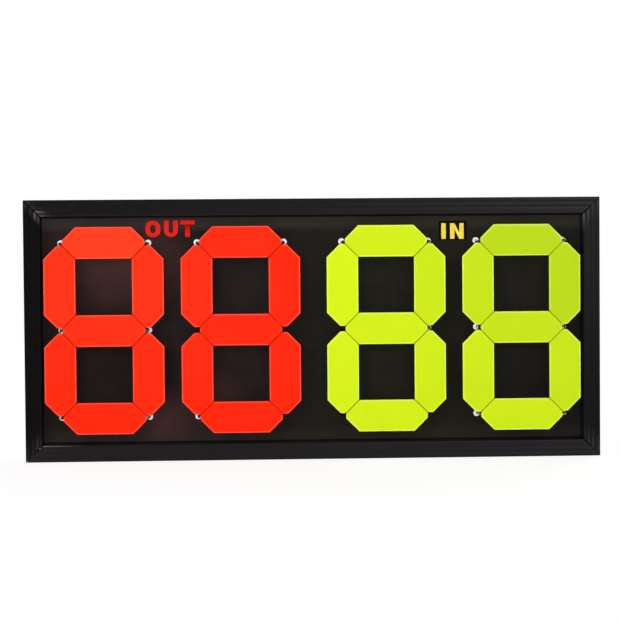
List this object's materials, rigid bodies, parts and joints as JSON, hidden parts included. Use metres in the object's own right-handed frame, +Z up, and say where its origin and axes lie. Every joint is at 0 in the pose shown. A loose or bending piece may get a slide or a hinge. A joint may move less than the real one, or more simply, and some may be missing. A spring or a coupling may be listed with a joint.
{
  "type": "substitution board",
  "caption": "Hand-turned board for player changes: red and lime seven-flap digits in a shallow black frame, each flap turning over to its black back.",
  "frame": {"origin": "under the middle of the board, on the surface that its bottom rail stands on", "axes": "+X to the right as the front is seen, the front faces -Y, +Z up"},
  "size_m": [0.773, 0.035, 0.35],
  "materials": {
    "frame_black": "black, satin",
    "panel_black": "black, matt",
    "flap_red": "fluorescent red, satin",
    "flap_lime": "fluorescent lime, satin",
    "flap_black": "black, satin",
    "post_white": "white nylon",
    "letter_red": "red film",
    "letter_yellow": "yellow film"
  },
  "bodies": {
    "frame": {"rail_top": "frame_black", "rail_bottom": "frame_black", "rail_left": "frame_black", "rail_right": "frame_black", "panel": "panel_black", "out_tens_post_top_left": "post_white", "out_tens_post_top_right": "post_white", "out_tens_post_middle_left": "post_white", "out_tens_post_middle_right": "post_white", "out_tens_post_bottom_left": "post_white", "out_tens_post_bottom_right": "post_white", "out_units_post_top_left": "post_white", "out_units_post_top_right": "post_white", "out_units_post_middle_left": "post_white", "out_units_post_middle_right": "post_white", "out_units_post_bottom_left": "post_white", "out_units_post_bottom_right": "post_white", "in_tens_post_top_left": "post_white", "in_tens_post_top_right": "post_white", "in_tens_post_middle_left": "post_white", "in_tens_post_middle_right": "post_white", "in_tens_post_bottom_left": "post_white", "in_tens_post_bottom_right": "post_white", "in_units_post_top_left": "post_white", "in_units_post_top_right": "post_white", "in_units_post_middle_left": "post_white", "in_units_post_middle_right": "post_white", "in_units_post_bottom_left": "post_white", "in_units_post_bottom_right": "post_white"},
    "out_tens_top": {"out_tens_top_flap": "flap_red"},
    "out_tens_upper_left": {"out_tens_upper_left_flap": "flap_red"},
    "out_tens_upper_right": {"out_tens_upper_right_flap": "flap_red"},
    "out_tens_middle": {"out_tens_middle_flap": "flap_red"},
    "out_tens_lower_left": {"out_tens_lower_left_flap": "flap_red"},
    "out_tens_lower_right": {"out_tens_lower_right_flap": "flap_red"},
    "out_tens_bottom": {"out_tens_bottom_flap": "flap_red"},
    "out_units_top": {"out_units_top_flap": "flap_red"},
    "out_units_upper_left": {"out_units_upper_left_flap": "flap_red"},
    "out_units_upper_right": {"out_units_upper_right_flap": "flap_red"},
    "out_units_middle": {"out_units_middle_flap": "flap_red"},
    "out_units_lower_left": {"out_units_lower_left_flap": "flap_red"},
    "out_units_lower_right": {"out_units_lower_right_flap": "flap_red"},
    "out_units_bottom": {"out_units_bottom_flap": "flap_red"},
    "in_tens_top": {"in_tens_top_flap": "flap_lime"},
    "in_tens_upper_left": {"in_tens_upper_left_flap": "flap_lime"},
    "in_tens_upper_right": {"in_tens_upper_right_flap": "flap_lime"},
    "in_tens_middle": {"in_tens_middle_flap": "flap_lime"},
    "in_tens_lower_left": {"in_tens_lower_left_flap": "flap_lime"},
    "in_tens_lower_right": {"in_tens_lower_right_flap": "flap_lime"},
    "in_tens_bottom": {"in_tens_bottom_flap": "flap_lime"},
    "in_units_top": {"in_units_top_flap": "flap_lime"},
    "in_units_upper_left": {"in_units_upper_left_flap": "flap_lime"},
    "in_units_upper_right": {"in_units_upper_right_flap": "flap_lime"},
    "in_units_middle": {"in_units_middle_flap": "flap_lime"},
    "in_units_lower_left": {"in_units_lower_left_flap": "flap_lime"},
    "in_units_lower_right": {"in_units_lower_right_flap": "flap_lime"},
    "in_units_bottom": {"in_units_bottom_flap": "flap_lime"}
  },
  "joints": [
    {"name": "out_tens_top_turn", "type": "hinge", "parent": "frame", "child": "out_tens_top", "pos_m": [-0.28055, -0.01228, 0.2926], "axis": [1, 0, 0], "range_deg": [-180, 180]},
    {"name": "out_tens_upper_left_turn", "type": "hinge", "parent": "frame", "child": "out_tens_upper_left", "pos_m": [-0.33935, -0.01228, 0.2338], "axis": [0, 0, 1], "range_deg": [-180, 180]},
    {"name": "out_tens_upper_right_turn", "type": "hinge", "parent": "frame", "child": "out_tens_upper_right", "pos_m": [-0.22175, -0.01228, 0.2338], "axis": [0, 0, 1], "range_deg": [-180, 180]},
    {"name": "out_tens_middle_turn", "type": "hinge", "parent": "frame", "child": "out_tens_middle", "pos_m": [-0.28055, -0.01228, 0.175], "axis": [1, 0, 0], "range_deg": [-180, 180]},
    {"name": "out_tens_lower_left_turn", "type": "hinge", "parent": "frame", "child": "out_tens_lower_left", "pos_m": [-0.33935, -0.01228, 0.1162], "axis": [0, 0, 1], "range_deg": [-180, 180]},
    {"name": "out_tens_lower_right_turn", "type": "hinge", "parent": "frame", "child": "out_tens_lower_right", "pos_m": [-0.22175, -0.01228, 0.1162], "axis": [0, 0, 1], "range_deg": [-180, 180]},
    {"name": "out_tens_bottom_turn", "type": "hinge", "parent": "frame", "child": "out_tens_bottom", "pos_m": [-0.28055, -0.01228, 0.0574], "axis": [1, 0, 0], "range_deg": [-180, 180]},
    {"name": "out_units_top_turn", "type": "hinge", "parent": "frame", "child": "out_units_top", "pos_m": [-0.09775, -0.01228, 0.2926], "axis": [1, 0, 0], "range_deg": [-180, 180]},
    {"name": "out_units_upper_left_turn", "type": "hinge", "parent": "frame", "child": "out_units_upper_left", "pos_m": [-0.15655, -0.01228, 0.2338], "axis": [0, 0, 1], "range_deg": [-180, 180]},
    {"name": "out_units_upper_right_turn", "type": "hinge", "parent": "frame", "child": "out_units_upper_right", "pos_m": [-0.03895, -0.01228, 0.2338], "axis": [0, 0, 1], "range_deg": [-180, 180]},
    {"name": "out_units_middle_turn", "type": "hinge", "parent": "frame", "child": "out_units_middle", "pos_m": [-0.09775, -0.01228, 0.175], "axis": [1, 0, 0], "range_deg": [-180, 180]},
    {"name": "out_units_lower_left_turn", "type": "hinge", "parent": "frame", "child": "out_units_lower_left", "pos_m": [-0.15655, -0.01228, 0.1162], "axis": [0, 0, 1], "range_deg": [-180, 180]},
    {"name": "out_units_lower_right_turn", "type": "hinge", "parent": "frame", "child": "out_units_lower_right", "pos_m": [-0.03895, -0.01228, 0.1162], "axis": [0, 0, 1], "range_deg": [-180, 180]},
    {"name": "out_units_bottom_turn", "type": "hinge", "parent": "frame", "child": "out_units_bottom", "pos_m": [-0.09775, -0.01228, 0.0574], "axis": [1, 0, 0], "range_deg": [-180, 180]},
    {"name": "in_tens_top_turn", "type": "hinge", "parent": "frame", "child": "in_tens_top", "pos_m": [0.09775, -0.01228, 0.2926], "axis": [1, 0, 0], "range_deg": [-180, 180]},
    {"name": "in_tens_upper_left_turn", "type": "hinge", "parent": "frame", "child": "in_tens_upper_left", "pos_m": [0.03895, -0.01228, 0.2338], "axis": [0, 0, 1], "range_deg": [-180, 180]},
    {"name": "in_tens_upper_right_turn", "type": "hinge", "parent": "frame", "child": "in_tens_upper_right", "pos_m": [0.15655, -0.01228, 0.2338], "axis": [0, 0, 1], "range_deg": [-180, 180]},
    {"name": "in_tens_middle_turn", "type": "hinge", "parent": "frame", "child": "in_tens_middle", "pos_m": [0.09775, -0.01228, 0.175], "axis": [1, 0, 0], "range_deg": [-180, 180]},
    {"name": "in_tens_lower_left_turn", "type": "hinge", "parent": "frame", "child": "in_tens_lower_left", "pos_m": [0.03895, -0.01228, 0.1162], "axis": [0, 0, 1], "range_deg": [-180, 180]},
    {"name": "in_tens_lower_right_turn", "type": "hinge", "parent": "frame", "child": "in_tens_lower_right", "pos_m": [0.15655, -0.01228, 0.1162], "axis": [0, 0, 1], "range_deg": [-180, 180]},
    {"name": "in_tens_bottom_turn", "type": "hinge", "parent": "frame", "child": "in_tens_bottom", "pos_m": [0.09775, -0.01228, 0.0574], "axis": [1, 0, 0], "range_deg": [-180, 180]},
    {"name": "in_units_top_turn", "type": "hinge", "parent": "frame", "child": "in_units_top", "pos_m": [0.28055, -0.01228, 0.2926], "axis": [1, 0, 0], "range_deg": [-180, 180]},
    {"name": "in_units_upper_left_turn", "type": "hinge", "parent": "frame", "child": "in_units_upper_left", "pos_m": [0.22175, -0.01228, 0.2338], "axis": [0, 0, 1], "range_deg": [-180, 180]},
    {"name": "in_units_upper_right_turn", "type": "hinge", "parent": "frame", "child": "in_units_upper_right", "pos_m": [0.33935, -0.01228, 0.2338], "axis": [0, 0, 1], "range_deg": [-180, 180]},
    {"name": "in_units_middle_turn", "type": "hinge", "parent": "frame", "child": "in_units_middle", "pos_m": [0.28055, -0.01228, 0.175], "axis": [1, 0, 0], "range_deg": [-180, 180]},
    {"name": "in_units_lower_left_turn", "type": "hinge", "parent": "frame", "child": "in_units_lower_left", "pos_m": [0.22175, -0.01228, 0.1162], "axis": [0, 0, 1], "range_deg": [-180, 180]},
    {"name": "in_units_lower_right_turn", "type": "hinge", "parent": "frame", "child": "in_units_lower_right", "pos_m": [0.33935, -0.01228, 0.1162], "axis": [0, 0, 1], "range_deg": [-180, 180]},
    {"name": "in_units_bottom_turn", "type": "hinge", "parent": "frame", "child": "in_units_bottom", "pos_m": [0.28055, -0.01228, 0.0574], "axis": [1, 0, 0], "range_deg": [-180, 180]}
  ]
}
